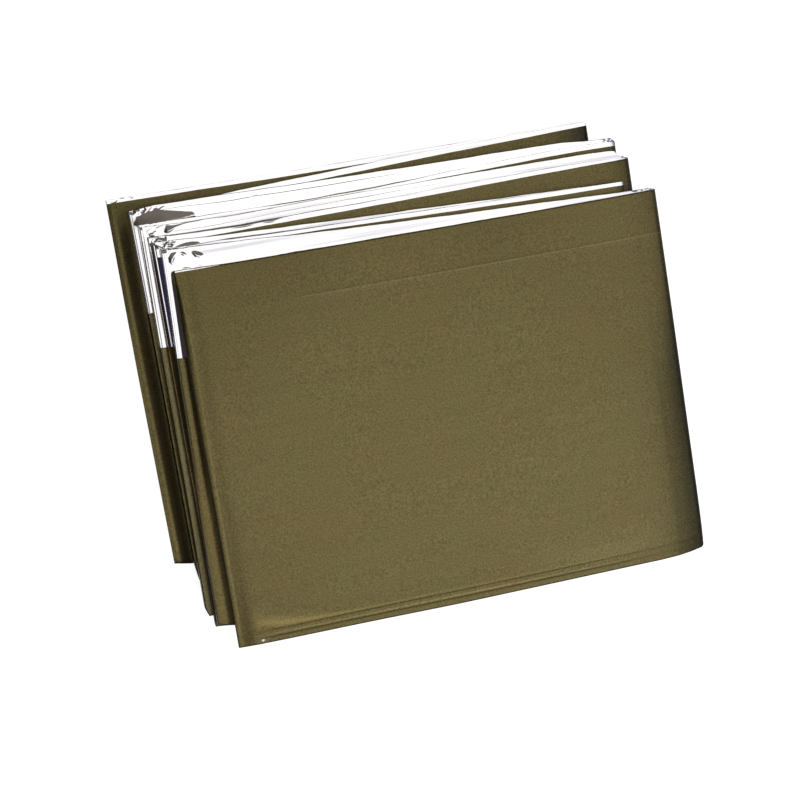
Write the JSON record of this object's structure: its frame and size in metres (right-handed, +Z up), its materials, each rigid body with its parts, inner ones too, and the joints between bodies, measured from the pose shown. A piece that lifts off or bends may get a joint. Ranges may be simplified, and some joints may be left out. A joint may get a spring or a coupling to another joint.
{
  "type": "emergency foil blanket, folded",
  "caption": "Metallised film survival blanket, olive outside and silver inside, fan-folded into a flat pocket-size pack with its leaves slid apart.",
  "frame": {"origin": "centre of the pack's bounding box, on the surface that it lies on", "axes": "+X along the leaves to their right-hand folds, +Y across the strip to its open edges, where the silver side shows, +Z up"},
  "size_m": [0.1318, 0.1112, 0.0155],
  "materials": {
    "olive_film": "satin",
    "silver_film": "polished"
  },
  "bodies": {
    "root": {"foil_blanket": "olive_film"}
  },
  "joints": []
}
